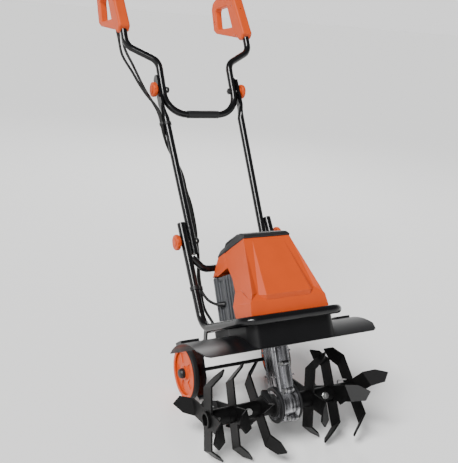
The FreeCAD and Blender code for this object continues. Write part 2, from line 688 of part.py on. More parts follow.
def flattened_end(radius, wall):
    """The right middle tube, its top end pressed to a flat tongue so that the handle lies beside it."""
    inner, thickness, half = size("tongue_x"), size("tongue_thickness"), size("tongue_half_width")
    start, low, top = 762, 802, 886
    start_x, start_y, _ = middle_line(start)
    low_y, top_y = middle_line(low)[1], middle_line(top)[1]
    round_end = Part.Wire(Part.makeCircle(radius, V(start_x, start_y, start), V(0.0269, 0.1097, 1)))
    flat_end = Part.makePolygon([V(inner, low_y - half, low), V(inner + thickness, low_y - half, low),
                                 V(inner + thickness, low_y + half, low), V(inner, low_y + half, low),
                                 V(inner, low_y - half, low)])
    throat = Part.makeLoft([round_end, flat_end], True)
    tongue = side_prism([(low_y - half, low), (low_y + half, low), (top_y + half, top - 8),
                         (top_y + half - 8, top), (top_y - half + 8, top), (top_y - half, top - 8)],
                        inner, inner + thickness)
    return ring(radius, radius - wall, middle_line(386), middle_line(start)).fuse(throat).fuse(tongue)


def build_middle_tubes():
    """Two straight tubes between the frame and the upper handle."""
    bolt = size("pivot_bolt_radius")
    bar = flattened_end(size("handle_tube_radius"), size("tube_wall"))
    bar = cross_holes(bar, 200, size("lower_pivot_y"), size("lower_pivot_z"), bolt + size("running_gap"))
    bar = cross_holes(bar, 200, size("upper_pivot_y"), size("upper_pivot_z"), bolt)
    feature("middle_tube_right", bar)
    feature("middle_tube_left", mirrored(bar))


GRIP_X = 187
HANDLE = [(106, 197.5, 774), (106, 204, 927), (GRIP_X, 219, 976), (GRIP_X, 221, 1026), (GRIP_X, 232, 1114)]


def handle_path():
    """The upper handle's centre line, from the left grip round the cross bar to the right grip."""
    right = HANDLE
    left = [other_side(point) for point in reversed(HANDLE)]
    return arced_path(left + right, [32, 36, 36, 60, 60, 36, 36, 32])


def build_upper_handle():
    """The upper handle tube and the plain sleeve on its cross bar."""
    radius, bolt = size("handle_tube_radius"), size("pivot_bolt_radius")
    bar = tube(handle_path(), radius, size("tube_wall"))
    bar = cross_holes(bar, 200, size("upper_pivot_y"), size("upper_pivot_z"), bolt + size("running_gap"))
    feature("handle_tube", bar)
    feature("crossbar_sleeve", x_ring(radius + 1.2, radius, -46, 46, 197.5, 774))


def build_pivot(level, joint_y, joint_z, inner_x, outer_x):
    """The two carriage bolts of one folding joint and the two knobs that clamp it."""
    radius, knob, width = size("pivot_bolt_radius"), size("knob_radius"), size("knob_width")
    bolts = []
    for side, name in ((-1, "left"), (1, "right")):
        start = (side * inner_x, joint_y, joint_z)
        head = hex_bar(6.5, start, (side * (inner_x - 6), joint_y, joint_z))
        shank = rod(radius - 0.02, start, (side * (outer_x + width - 3), joint_y, joint_z))
        bolts.append(head.fuse(shank))
        face = outer_x + 0.8
        near, flange, far = side * face, side * (face + 4), side * (face + width)
        grip = x_ring(knob, radius + 0.04, *sorted((flange, far)), joint_y, joint_z)
        neck = x_ring(knob * 0.55, radius + 0.04, *sorted((near, flange)), joint_y, joint_z)
        grip = grip.makeFillet(3.5, [edge for edge in grip.Edges if edge.Curve.TypeId == "Part::GeomCircle"
                                     and edge.Curve.Radius > knob - 0.1])
        shape = grip.fuse(neck)
        for flute in range(8):
            turn = math.radians(45 * flute + 22.5)
            at_y, at_z = joint_y + 24.5 * math.cos(turn), joint_z + 24.5 * math.sin(turn)
            shape = shape.cut(rod(6, (near - side, at_y, at_z), (far + side, at_y, at_z)))
        cap = rod(knob * 0.5, (far - side, joint_y, joint_z), (far + side * 1.5, joint_y, joint_z))
        feature("knob_%s_%s" % (level, name), shape.fuse(cap))
    feature("pivot_bolts_" + level, Part.makeCompound(bolts))


# Outlines of the grips in side view, measured from the point where the tube enters, rearwards and upwards.
GRIP_BODY = [(-17, 0), (-2, -10), (14, -8), (24, 4), (42, 20), (47, 58), (56, 120), (66, 172), (52, 189),
             (34, 189), (18, 166)]
GRIP_LOOP = [(20, 2), (66, 28), (156, 80), (170, 96), (164, 164), (150, 180), (66, 186), (36, 140)]
GRIP_HOLE = [(47, 50), (138, 86), (144, 98), (138, 144), (130, 150), (56, 124)]
GRIP_ENTRY = (221, 1026)
GRIP_SCREWS = [(24, 12), (26, 108), (154, 116)]


def at_grip(points):
    """Grip outline points moved to the tube's entry."""
    return [(y + GRIP_ENTRY[0], z + GRIP_ENTRY[1]) for y, z in points]


def rounded_side_prism(points, radii, x0, x1):
    """A rounded (y, z) outline between two planes across X."""
    edges = [edge.toShape() for edge in rounded(points, radii)]
    flat = Part.Face(Part.Wire(edges))
    turn = FreeCAD.Placement(V(x0, 0, 0), FreeCAD.Rotation(V(0, 1, 0), V(0, 0, 1), V(1, 0, 0), "XYZ"))
    flat.Placement = turn
    return flat.extrude(V(x1 - x0, 0, 0))


def face_edges(shape, x):
    """The edges of a shape's flat face at a place across X."""
    return [edge for edge in shape.Edges if abs(edge.CenterOfMass.x - x) < 0.01]


def grip_shell(side, outer, bore):
    """Half of a D grip, split on the grip's middle plane; outer is the half away from the machine's middle."""
    x = side * GRIP_X
    away = side if outer else -side
    half, loop_half = size("grip_half_width"), size("loop_half_width")
    body_face, loop_face = sorted((x, x + away * half)), sorted((x, x + away * loop_half))
    body_radii = [6, 5, 5, 8, 12, 20, 20, 8, 10, 10, 20]
    loop_radii = [6, 10, 10, 9, 14, 12, 6, 6]
    body = rounded_side_prism(at_grip(GRIP_BODY), body_radii, *body_face)
    loop = rounded_side_prism(at_grip(GRIP_LOOP), loop_radii, *loop_face)
    hole = rounded_side_prism(at_grip(GRIP_HOLE), [4, 5, 8, 6, 6, 4], x - 30, x + 30)
    body = body.makeFillet(6, face_edges(body, x + away * half))
    loop = loop.cut(hole)
    loop = loop.makeFillet(4, face_edges(loop, x + away * loop_half))
    shell = body.fuse(loop).cut(bore)
    for y, z in at_grip(GRIP_SCREWS):
        reach = loop_half if y - GRIP_ENTRY[0] > 60 else half
        shell = shell.cut(rod(1.6, (x - away, y, z), (x + away * (reach - 4), y, z)))
        if not outer:
            shell = shell.cut(rod(3.2, (x + away * (reach - 4), y, z), (x + away * (reach + 1), y, z)))
    return shell


LEVER_PIVOT = (50, 116)
LEVER = [(38, 64), (57, 66), (61, 112), (56, 121), (44, 121), (41, 100)]
LEVER_ROOM = [(26, 58), (52, 58), (58, 66), (66, 112), (60, 126), (38, 126), (34, 108)]
SWITCH = (20, 46, 132, 164)


def build_grips():
    """Both D grips as pairs of shells; the left one holds the switch, its lever and the lock button."""
    bore = pipe(handle_path(), size("handle_tube_radius") + 0.02)
    for side, name in ((-1, "left"), (1, "right")):
        for outer, place in ((True, "outer"), (False, "inner")):
            shell = grip_shell(side, outer, bore)
            if side < 0:
                shell = shell.cut(left_grip_rooms())
            feature("grip_%s_%s" % (name, place), shell)
    screws = []
    for side in (-1, 1):
        for y, z in at_grip(GRIP_SCREWS):
            reach = size("loop_half_width") if y - GRIP_ENTRY[0] > 60 else size("grip_half_width")
            face = side * (GRIP_X - reach + 4)
            screws.append(rod(1.6, (side * (GRIP_X + 0.9), y, z), (face, y, z)).fuse(
                rod(3, (face, y, z), (side * (GRIP_X - reach + 1.4), y, z))))
    feature("grip_screws", Part.makeCompound(screws))


def left_grip_rooms():
    """The hollows in the left grip: lever, switch, button and cable exit."""
    y0, z0 = GRIP_ENTRY
    x = -GRIP_X
    lever_room = side_prism(at_grip(LEVER_ROOM), x - 8.5, x + 8.5)
    pin_y, pin_z = y0 + LEVER_PIVOT[0], z0 + LEVER_PIVOT[1]
    pin = rod(2.5, (x - 12, pin_y, pin_z), (x + 12, pin_y, pin_z))
    switch_room = box(x - 9, x + 9, y0 + SWITCH[0], y0 + SWITCH[1], z0 + SWITCH[2], z0 + SWITCH[3])
    button_room = rod(7.4, (x, y0 + 38, z0 + 160), (x, y0 + 38, z0 + 200))
    cables = Part.makeCompound([rod(6.4, (-188, 264, z0 + 4), (-188, 264, z0 + 30)),
                                rod(4, (-186, 240, z0 - 20), (-186, 240, z0 + 8))])
    return Part.makeCompound([lever_room, pin, switch_room, button_room]).fuse(cables)


def build_switchgear():
    """The switch block, the trigger lever, the lock button and the cable's strain relief."""
    y0, z0 = GRIP_ENTRY
    x = -GRIP_X
    feature("switch_box", box(x - 8.8, x + 8.8, y0 + SWITCH[0] + 0.2, y0 + SWITCH[1] - 0.2,
                              z0 + SWITCH[2] + 0.2, z0 + SWITCH[3] - 5))
    pivot_y, pivot_z = y0 + LEVER_PIVOT[0], z0 + LEVER_PIVOT[1]
    lever = side_prism(at_grip(LEVER), x - 7.5, x + 7.5)
    lever = lever.fuse(rod(2.44, (x - 11.8, pivot_y, pivot_z), (x + 11.8, pivot_y, pivot_z)))
    feature("switch_lever", lever)
    button = rod(7, (x, y0 + 38, z0 + 172), (x, y0 + 38, z0 + 195))
    button = button.makeFillet(2, [edge for edge in button.Edges if edge.CenterOfMass.z > z0 + 194.9
                                   and edge.Curve.TypeId == "Part::GeomCircle"])
    feature("lock_button", button)
    cone = Part.makeCone(3.9, 6.2, 34, V(-188, 264, z0 - 12))
    feature("cable_relief", cone.cut(rod(size("cable_radius"), (-188, 264, z0 - 20), (-188, 264, z0 + 40))))


# ---------------------------------------------------------------- cables

POWER_TOP = [(-188, 264, 1012), (-188, 264, 988), (-186, 259, 962), (-180, 247, 935), (-172, 232, 902),
             (-164, 221, 868), (-153, 209, 834), (-139, 196, 804), (-128.2, 187, 777), (-127.2, 186, 754)]
SIGNAL_TOP = [(-186, 240, 1014), (-186, 241, 990), (-182, 237, 962), (-172, 230, 930), (-161, 229, 895),
              (-150, 219, 850), (-138, 206, 810), (-128.2, 196, 777), (-127.2, 195, 754)]
POWER_MIDDLE = [(-127.18, 185.98, 753.6), (-126.1, 184.9, 728), (-122, 196, 700), (-109, 203, 668), (-98, 195, 635),
                (-94, 184, 600), (-95, 178, 560), (-89.2, 170, 522), (-88.5, 168, 487)]
SIGNAL_MIDDLE = [(-127.18, 194.98, 753.6), (-126.1, 193.9, 728), (-117, 205, 700), (-103, 211, 668), (-91, 203, 635),
                 (-86, 192, 600), (-87, 186, 560), (-81.2, 178, 522), (-80.5, 176, 487)]
POWER_LOWER = [(-88.49, 167.98, 486.6), (-87.9, 166.2, 456), (-87.5, 169, 425), (-88, 164, 388), (-96, 157, 356),
               (-104, 150, 327), (-108, 137, 298), (-104, 127, 276), (-95, 116, 258), (-80, 108, 250)]
SIGNAL_LOWER = [(-80.49, 175.98, 486.6), (-79.9, 174.2, 456), (-81, 177, 425), (-84, 171, 390), (-90, 167, 358),
                (-97, 159, 327), (-102, 146, 296), (-103, 147, 268), (-99, 148, 242), (-91, 138, 217),
                (-87, 124, 195.5)]


def cable_radii(route):
    """Arc radii as large as the two runs beside each point allow."""
    corners = [V(*point) for point in route]
    radii = []
    for before, corner, after in zip(corners, corners[1:], corners[2:]):
        turn = (corner - before).getAngle(after - corner)
        shorter = min((corner - before).Length, (after - corner).Length)
        radii.append(0.45 * shorter / math.tan(turn / 2))
    return radii


def cable(name, route):
    """A round cable along a route, checked against its section times its length."""
    radius = size("cable_radius")
    path = arced_path(route, cable_radii(route))
    solid = pipe(path, radius)
    ratio = solid.Volume / (math.pi * radius ** 2 * path.Length)
    print(name, "length %.0f, volume ratio %.4f" % (path.Length, ratio))
    return solid


def build_cables():
    """The power and switch cables: one pair for each stretch between two folding joints."""
    for name, power, signal in (("top", POWER_TOP, SIGNAL_TOP), ("middle", POWER_MIDDLE, SIGNAL_MIDDLE),
                                ("lower", POWER_LOWER, SIGNAL_LOWER)):
        pair = [cable("power_" + name, power), cable("switch_" + name, signal)]
        feature("cables_" + name, Part.makeCompound(pair))


def cable_clip(name, tube_point, tube_axis, tube_radius, cable_points, cables, width):
    """A strap round a tube with an eye for each cable."""
    centre, axis = V(*tube_point), V(*tube_axis).normalize()
    start = centre - axis * (width / 2)
    strap = Part.makeCylinder(tube_radius + 2, width, start, axis)
    for point in cable_points:
        eye = V(*point) - axis * (width / 2)
        strap = strap.fuse(Part.makeCylinder(size("cable_radius") + 1.6, width, eye, axis))
        bridge = Part.makeCylinder(2.2, (eye - start).Length, start + axis * (width / 2), eye - start)
        strap = strap.fuse(bridge)
    bore_start = centre - axis * (width / 2 + 20)
    strap = strap.cut(Part.makeCylinder(tube_radius + 0.02, width + 40, bore_start, axis))
    for solid in cables:
        strap = strap.cut(solid)
    feature(name, strap)


def build_clips():
    """The clip under the upper knob, the one on the frame and the gland in the motor's side."""
    def plain(route):
        return pipe(arced_path(route, cable_radii(route)), size("cable_radius") + 0.02)

    upper = other_side(middle_line(744))
    cable_clip("cable_clip_upper", upper, (0.0269, -0.1097, -1), size("handle_tube_radius"),
               [(-126.8, 185.6, 744), (-126.8, 194.6, 744)], [plain(POWER_MIDDLE), plain(SIGNAL_MIDDLE)], 8)
    cable_clip("cable_clip_lower", (-size("frame_half_width"), 129.5, 298), (0, 0.1728, 0.985),
               size("frame_tube_radius"), [(-108, 137.5, 298), (-102, 146.5, 298)],
               [plain(POWER_LOWER), plain(SIGNAL_LOWER)], 9)
    gland = Part.makeCone(7.5, 5, 18, V(-size("motor_half_width") + 3, 102.5, 248.5), V(-16, 6.5, 2.5))
    feature("cable_gland", gland.cut(plain(POWER_LOWER)))


# ---------------------------------------------------------------- assembly

def box_of(group):
    """The exact box round a group of sub-parts."""
    frame = FreeCAD.BoundBox()
    for part in group:
        for point in part.Shape.tessellate(0.05)[0]:
            frame.add(point)
    return frame


def stand():
    """Pitch the machine nose up, set it down on its lowest point and centre its box on the origin."""
    pitch = FreeCAD.Placement(V(0, 0, 0), FreeCAD.Rotation(V(1, 0, 0), -size("body_pitch")))
    for part in parts:
        part.Placement = pitch.multiply(part.Placement)
    solid = [part for part in parts if not part.Label.startswith("cables")]
    frame = box_of(solid)
    base = FreeCAD.Placement(V(-frame.Center.x, -frame.Center.y, -frame.ZMin), FreeCAD.Rotation())
    for part in parts:
        part.Placement = base.multiply(part.Placement)
    print("origin moved by", base.Base, "box", frame)
    for part in parts:
        if "tines_" in part.Label or part.Label.startswith("tyre"):
            print(part.Label, "is %.2f mm above the floor" % box_of([part]).ZMin)


def main():
    build_base_housing()
    build_fender()
    build_leg()
    build_motor_housing()
    build_motor_bolts()
    build_stator()
    build_motor_cover()
    build_armature()
    build_motor_pinion()
    build_drive_gear()
    build_leg_shaft()
    build_tine_shaft()
    build_face_gear()
    build_bearings()
    build_tines()
    build_frame()
    build_wheel_bracket("wheel_bracket_left", -1)
    build_wheel_bracket("wheel_bracket_right", 1)
    build_axle()
    build_wheel("left", -1)
    build_wheel("right", 1)
    build_middle_tubes()
    build_upper_handle()
    outer_x = size("frame_half_width") + size("frame_tube_radius")
    build_pivot("lower", size("lower_pivot_y"), size("lower_pivot_z"), 93.6, outer_x)
    tongue_face = size("tongue_x") + size("tongue_thickness")
    build_pivot("upper", size("upper_pivot_y"), size("upper_pivot_z"), 96.1, tongue_face)
    build_grips()
    build_switchgear()
    build_cables()
    build_clips()
    doc.recompute()
    stand()
    doc.recompute()
    for obj in doc.Objects:
        if "Invalid" in obj.State or "Error" in obj.State:
            raise RuntimeError("%s failed" % obj.Label)
    os.makedirs("parts", exist_ok=True)
    for part in parts:
        shape = part.Shape
        if shape.isNull() or not shape.isValid():
            raise RuntimeError("%s has a bad shape" % part.Label)
        shape.exportStep("parts/%s.step" % part.Label)
    print(len(parts), "sub-parts")


main()
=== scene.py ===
"""The tiller's look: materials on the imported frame, and finer pieces laid over its plainest nodes."""
import json
import math
import bmesh
import bpy
from mathutils import Matrix, Vector


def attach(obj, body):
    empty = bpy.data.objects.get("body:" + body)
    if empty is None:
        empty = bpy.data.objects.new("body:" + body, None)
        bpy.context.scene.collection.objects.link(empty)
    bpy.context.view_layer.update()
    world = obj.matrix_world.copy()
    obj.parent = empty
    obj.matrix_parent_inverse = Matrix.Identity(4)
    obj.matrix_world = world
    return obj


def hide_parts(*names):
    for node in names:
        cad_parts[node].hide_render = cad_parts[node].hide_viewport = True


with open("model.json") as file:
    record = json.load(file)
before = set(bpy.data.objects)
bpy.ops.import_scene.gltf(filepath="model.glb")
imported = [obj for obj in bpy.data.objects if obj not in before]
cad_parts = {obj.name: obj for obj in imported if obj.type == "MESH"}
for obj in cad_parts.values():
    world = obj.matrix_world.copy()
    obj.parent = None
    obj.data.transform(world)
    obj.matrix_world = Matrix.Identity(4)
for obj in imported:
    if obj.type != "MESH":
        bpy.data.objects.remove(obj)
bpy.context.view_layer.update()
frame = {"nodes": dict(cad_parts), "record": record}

scene = bpy.context.scene

LEG_PITCH = math.radians(29.94)
PHOTO_PITCH = math.radians(19.0)


def joint(name):
    """A joint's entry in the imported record."""
    for entry in frame["record"]["behaviour"]["joints"]:
        if entry["name"] == name:
            return entry


TINE_AXIS = Vector(joint("tine_spin")["pos_m"])
TO_ROW = Matrix.Translation(TINE_AXIS) @ Matrix.Rotation(-LEG_PITCH, 4, "X") @ Matrix.Scale(0.001, 4)


def row(x, y, z):
    """A point of the design frame, in millimetres from the tine axis with +Z up the leg, in the row frame."""
    return TO_ROW @ Vector((x, y, z))


# ---------------------------------------------------------------- materials

GRAIN_SCALE = 900.0
GRAIN_DEPTH = 0.0004
CLOUD_SCALE = 22.0
# How far the leg's painted reflection streaks are drawn out along it.
PAINTED_REFLECTION_STRETCH = 16


def add_tone(nodes, links, place, shader, colour, mottle_and_painted_sheen, painted_reflection_streaks):
    """Lets the base colour wander between two tones at random; where streaked, the tones are drawn out along
    the leg as painted reflection streaks.
    """
    clouds = nodes.new("ShaderNodeTexNoise")
    clouds.inputs["Scale"].default_value = painted_reflection_streaks or CLOUD_SCALE
    clouds.inputs["Detail"].default_value = 6.0
    links.new(place.outputs["Object"], clouds.inputs["Vector"])
    # Streaks drawn out along the leg: painted reflections of a glossy surface, not a real finish.
    if painted_reflection_streaks:
        along = nodes.new("ShaderNodeMapping")
        along.vector_type = "TEXTURE"
        along.inputs["Rotation"].default_value = (-LEG_PITCH, 0, 0)
        along.inputs["Scale"].default_value = (1, 1, PAINTED_REFLECTION_STRETCH)
        links.new(place.outputs["Object"], along.inputs["Vector"])
        links.new(along.outputs["Vector"], clouds.inputs["Vector"])
    ramp = nodes.new("ShaderNodeValToRGB")
    low, high = ramp.color_ramp.elements[0], ramp.color_ramp.elements[1]
    low.position = 0.35
    low.color = (*[channel * (1 - mottle_and_painted_sheen) for channel in colour], 1)
    high.position = 0.65
    high.color = (*[min(1.0, channel * (1 + mottle_and_painted_sheen)) for channel in colour], 1)
    links.new(clouds.outputs["Fac"], ramp.inputs["Fac"])
    links.new(ramp.outputs["Color"], shader.inputs["Base Color"])


def add_grain(nodes, links, place, shader, strength):
    """Gives the surface a fine bump."""
    noise = nodes.new("ShaderNodeTexNoise")
    noise.inputs["Scale"].default_value = GRAIN_SCALE
    noise.inputs["Detail"].default_value = 2.0
    links.new(place.outputs["Object"], noise.inputs["Vector"])
    bump = nodes.new("ShaderNodeBump")
    bump.inputs["Strength"].default_value = strength
    bump.inputs["Distance"].default_value = GRAIN_DEPTH
    links.new(noise.outputs["Fac"], bump.inputs["Height"])
    links.new(bump.outputs["Normal"], shader.inputs["Normal"])


def material(name, colour, roughness, metallic=0.0, coat=0.0, grain=0.0, mottle_and_painted_sheen=0.0,
             specular=0.5, painted_reflection_streaks=None):
    """A principled material with optional grain and tone; on the leg the tone is painted reflection streaks.
    """
    made = bpy.data.materials.new(name)
    made.use_nodes = True
    nodes, links = made.node_tree.nodes, made.node_tree.links
    shader = nodes["Principled BSDF"]
    shader.inputs["Base Color"].default_value = (*colour, 1)
    shader.inputs["Roughness"].default_value = roughness
    shader.inputs["Metallic"].default_value = metallic
    shader.inputs["Coat Weight"].default_value = coat
    shader.inputs["Specular IOR Level"].default_value = specular
    place = nodes.new("ShaderNodeTexCoord")
    if mottle_and_painted_sheen:
        add_tone(nodes, links, place, shader, colour, mottle_and_painted_sheen, painted_reflection_streaks)
    if grain:
        add_grain(nodes, links, place, shader, grain)
    return made


LOOKS = {
    "orange_plastic": material(
        "hood_orange", (0.53, 0.064, 0.0075), 0.46, grain=0.10, mottle_and_painted_sheen=0.03, specular=0.3),
    "sheet_black": material(
        "sheet_black", (0.006, 0.006, 0.0068), 0.36, grain=0.10, mottle_and_painted_sheen=0.10, specular=0.4),
    "housing_black": material(
        "housing_black", (0.0035, 0.0035, 0.004), 0.40, grain=0.20, mottle_and_painted_sheen=0.10, specular=0.18),
    "black_plastic": material(
        "plain_black", (0.009, 0.009, 0.0098), 0.45, grain=0.15, mottle_and_painted_sheen=0.10, specular=0.35),
    "grip_orange": material(
        "grip_orange", (0.55, 0.066, 0.0075), 0.50, grain=0.20, mottle_and_painted_sheen=0.03, specular=0.3),
    "lever_black": material("lever_black", (0.022, 0.022, 0.023), 0.35, grain=0.05, mottle_and_painted_sheen=0.06),
    "motor_grey": material("motor_grey", (0.075, 0.078, 0.084), 0.40, metallic=0.5, grain=0.30, mottle_and_painted_sheen=0.10),
    "steel_lamination": material(
        "lamination", (0.32, 0.32, 0.33), 0.45, metallic=0.9, grain=0.1, mottle_and_painted_sheen=0.08),
    "zinc_steel": material("zinc", (0.55, 0.55, 0.54), 0.28, metallic=1.0, grain=0.05, mottle_and_painted_sheen=0.08),
    "gear_steel": material("gear_steel", (0.30, 0.30, 0.31), 0.32, metallic=1.0, grain=0.05, mottle_and_painted_sheen=0.10),
    # The leg's strong grey streaks along its length are painted reflections of its glossy cast surface; the
    # grey metal itself is its own colour.
    "leg_black": material(
        "leg_gloss", (0.24, 0.24, 0.25), 0.26, metallic=0.9, grain=0.10, mottle_and_painted_sheen=0.85, painted_reflection_streaks=150.0),
    "tube_black": material(
        "tube_black", (0.004, 0.004, 0.0045), 0.20, coat=0.12, grain=0.04, mottle_and_painted_sheen=0.08, specular=0.3),
    "tine_black": material(
        "tine_black", (0.0028, 0.0027, 0.0028), 0.46, grain=0.25, mottle_and_painted_sheen=0.15, specular=0.14),
    "rubber": material("rubber", (0.013, 0.013, 0.013), 0.62, grain=0.2, mottle_and_painted_sheen=0.10),
    "tyre": material("tyre", (0.006, 0.006, 0.006), 0.60, grain=0.30, mottle_and_painted_sheen=0.12, specular=0.3),
    "cable_black": material(
        "cable_black", (0.004, 0.004, 0.004), 0.48, grain=0.05, mottle_and_painted_sheen=0.08, specular=0.2),
}

SOFT_EDGES = {
    "base_housing": 1.6, "fender": 0.5, "cover_cap": 2.0, "motor_housing": 1.0,
    "leg_left": 0.8, "leg_right": 0.8, "wheel_hub_left": 0.8, "wheel_hub_right": 0.8,
    "knob_lower_left": 0.8, "knob_lower_right": 0.8,
    "knob_upper_left": 0.8, "knob_upper_right": 0.8, "axle_nuts": 0.4, "wheel_bracket_left": 0.5,
    "wheel_bracket_right": 0.5, "hub_bolts": 0.3, "cable_clip_lower": 0.4, "cable_clip_upper": 0.4,
}


def soften(obj, width_mm):
    """Rounds an object's sharp edges by a modifier, so its mesh stays as it is."""
    bevel = obj.modifiers.new("edges", "BEVEL")
    bevel.width = width_mm / 1000
    bevel.segments = 3
    bevel.limit_method = "ANGLE"
    bevel.angle_limit = math.radians(32)
    bevel.harden_normals = False
    bevel.use_clamp_overlap = True


def dress_frame():
    """Gives each CAD node its slot's material and softened edges."""
    slots = {entry["node"]: entry["material_slot"] for entry in frame["record"]["subparts"]}
    for name, obj in frame["nodes"].items():
        obj.data.materials.clear()
        obj.data.materials.append(LOOKS[slots[name]])
        if name in SOFT_EDGES:
            soften(obj, SOFT_EDGES[name])


# ---------------------------------------------------------------- shapes, from design-frame points

SIDES = ((-1, "left"), (1, "right"))


def finish_piece(name, work, slot, body, width_mm):
    """Turns a bmesh into an object that rides a body, with its slot's material and softened edges."""
    bmesh.ops.recalc_face_normals(work, faces=work.faces[:])
    mesh = bpy.data.meshes.new(name)
    work.to_mesh(mesh)
    work.free()
    obj = bpy.data.objects.new(name, mesh)
    scene.collection.objects.link(obj)
    mesh.materials.append(LOOKS[slot])
    if width_mm:
        soften(obj, width_mm)
    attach(obj, body)


def hull_piece(name, points, slot, body, width_mm):
    """A closed faceted piece round a set of points."""
    work = bmesh.new()
    for point in points:
        work.verts.new(row(*point))
    result = bmesh.ops.convex_hull(work, input=work.verts[:])
    inner = result["geom_interior"] + result["geom_unused"]
    loose = {item for item in inner if isinstance(item, bmesh.types.BMVert)}
    bmesh.ops.delete(work, geom=list(loose), context="VERTS")
    bmesh.ops.dissolve_limit(work, angle_limit=0.01, verts=work.verts[:], edges=work.edges[:])
    finish_piece(name, work, slot, body, width_mm)


def boxes_piece(name, boxes, slot, body, width_mm):
    """Separate closed blocks in one object, each given by its lowest and highest corner."""
    work = bmesh.new()
    for low, high in boxes:
        for corner in bmesh.ops.create_cube(work, size=1.0)["verts"]:
            corner.co = row(*[a + (b - a) * (t + 0.5) for a, b, t in zip(low, high, corner.co)])
    finish_piece(name, work, slot, body, width_mm)


def disc(x, y, z, radius, count=24):
    """Points of a circle about an axis along X."""
    turns = [2 * math.pi * i / count for i in range(count)]
    return [(x, y + radius * math.cos(turn), z + radius * math.sin(turn)) for turn in turns]


def ring_piece(name, planes, radii, centre, slot, body, width_mm):
    """A closed ring about an axis along X, between two planes and an inner and an outer radius."""
    count = 64
    (x0, x1), (inner, outer), (y, z) = planes, radii, centre
    section = ((x0, inner), (x0, outer), (x1, outer), (x1, inner))
    work = bmesh.new()
    corners = [work.verts.new(row(*point)) for x, radius in section for point in disc(x, y, z, radius, count)]
    for a, b in ((0, 1), (1, 2), (2, 3), (3, 0)):
        for i in range(count):
            j = (i + 1) % count
            work.faces.new([corners[k] for k in (a * count + i, a * count + j, b * count + j, b * count + i)])
    finish_piece(name, work, slot, body, width_mm)


# ---------------------------------------------------------------- hood

FRONT_FOOT_Y, FRONT_FOOT_Z = -99, 238
FRONT_RUN, FRONT_RISE = 57, 153
FRONT_NORMAL_RISE = 0.37
FLANK_TOP_HALF, FLANK_TOP_Z = 61, 392
FLANK_SPREAD, FLANK_DROP = 18, 122


def front(x, z, proud=0.0):
    """A point on the hood's sloping front, standing proud of it by some millimetres."""
    y = FRONT_FOOT_Y + (z - FRONT_FOOT_Z) * FRONT_RUN / FRONT_RISE
    return (x, y - proud, z + FRONT_NORMAL_RISE * proud)


def on_flank(side, y, z, proud):
    """A point on one tapering flank of the hood, standing proud of it by some millimetres."""
    half = FLANK_TOP_HALF + (FLANK_TOP_Z - z) * FLANK_SPREAD / FLANK_DROP
    return (side * (half + proud), y, z)


def on_both_sides(outline, proud):
    """Side-view (y, z) points placed on both flanks."""
    return [on_flank(side, y, z, proud) for y, z in outline for side in (-1, 1)]


def flipped(points):
    """The same points on the machine's other side."""
    return [(-x, y, z) for x, y, z in points]


def build_hood_panel():
    """The raised middle panel of the hood's front."""
    top = [front(-41, 380), front(41, 380)]
    swell = [front(-58, 247, 8), front(58, 247, 8)]
    foot = [front(-73, 252, -0.3), front(73, 252, -0.3), front(-57, 238), front(57, 238)]
    sunk = [front(x, z, -3) for x, z in ((-40, 374), (40, 374), (56, 242), (-56, 242))]
    hull_piece("hood_panel", top + swell + foot + sunk, "orange_plastic", "chassis", 0.6)


def hood_wedge(tip, flank):
    """Points of the left front corner's wedge: its crest runs from the top down to the tip."""
    crest = [front(-63, 380), tip, (flank, -43, 272), (-75, -38, 314)]
    edge = [front(-75, 256, -0.2), front(-95, 240, -0.2)]
    sunk = [(-83, -43, 262), front(-61, 378, -4), front(-71, 258, -5), (-66, -38, 316)]
    return crest + edge + sunk


def build_hood():
    """The hood's raised panel, the wedge down each front corner, its rear flap and its cap's band."""
    build_hood_panel()
    left_wedge = hood_wedge((-93, -103, 254), -89)
    right_wedge = flipped(hood_wedge((-89, -98, 254), -86))
    hull_piece("hood_wedge_left", left_wedge, "orange_plastic", "chassis", 0.6)
    hull_piece("hood_wedge_right", right_wedge, "orange_plastic", "chassis", 0.6)
    rear = [(50, 333), (133, 319), (99, 365), (60, 371)]
    hull_piece("hood_rear", on_both_sides(rear, 0.5), "orange_plastic", "chassis", 1.5)
    band = on_both_sides([(-45, 387), (-47, 391), (-38, 386.5), (98, 364.5), (101, 367)], 0.9)
    ridge = ((-41, 398, 57), (-16, 404, 56), (93, 381, 59))
    crown = [(x, y, z) for y, z, half in ridge for x in (-half, half)]
    hull_piece("hood_cap_band", band + crown, "black_plastic", "chassis", 1.2)


# ---------------------------------------------------------------- motor, wheels and leg

BACK_BOTTOM, BACK_TOP = 203, 319
FIN_BOTTOM, FIN_TOP = 204, 317
FIN_INNER, FIN_OUTER = 64, 70
FIN_HALF_THICKNESS = 3.5
FIN_PLACES = (2, 17, 32, 47, 62, 77, 119, 133)
WHEEL_CENTRE = (243, 94)
GEARCASE_CENTRE = (0, 0)


def build_fins():
    """Rounded upright fins on both flanks of the motor case, and the case's rounded back."""
    plan = [(-67, 124), (-67, 136), (-61, 145), (-52, 148), (52, 148), (61, 145), (67, 136), (67, 124)]
    back = [(x, y, z) for x, y in plan for z in (BACK_BOTTOM, BACK_TOP)]
    hull_piece("motor_back", back, "motor_grey", "chassis", 1.0)
    for side, name in SIDES:
        low_x, high_x = sorted((side * FIN_INNER, side * FIN_OUTER))
        boxes = []
        for y in FIN_PLACES:
            low = (low_x, y - FIN_HALF_THICKNESS, FIN_BOTTOM)
            boxes.append((low, (high_x, y + FIN_HALF_THICKNESS, FIN_TOP)))
        boxes_piece("motor_fins_" + name, boxes, "motor_grey", "chassis", 2.4)


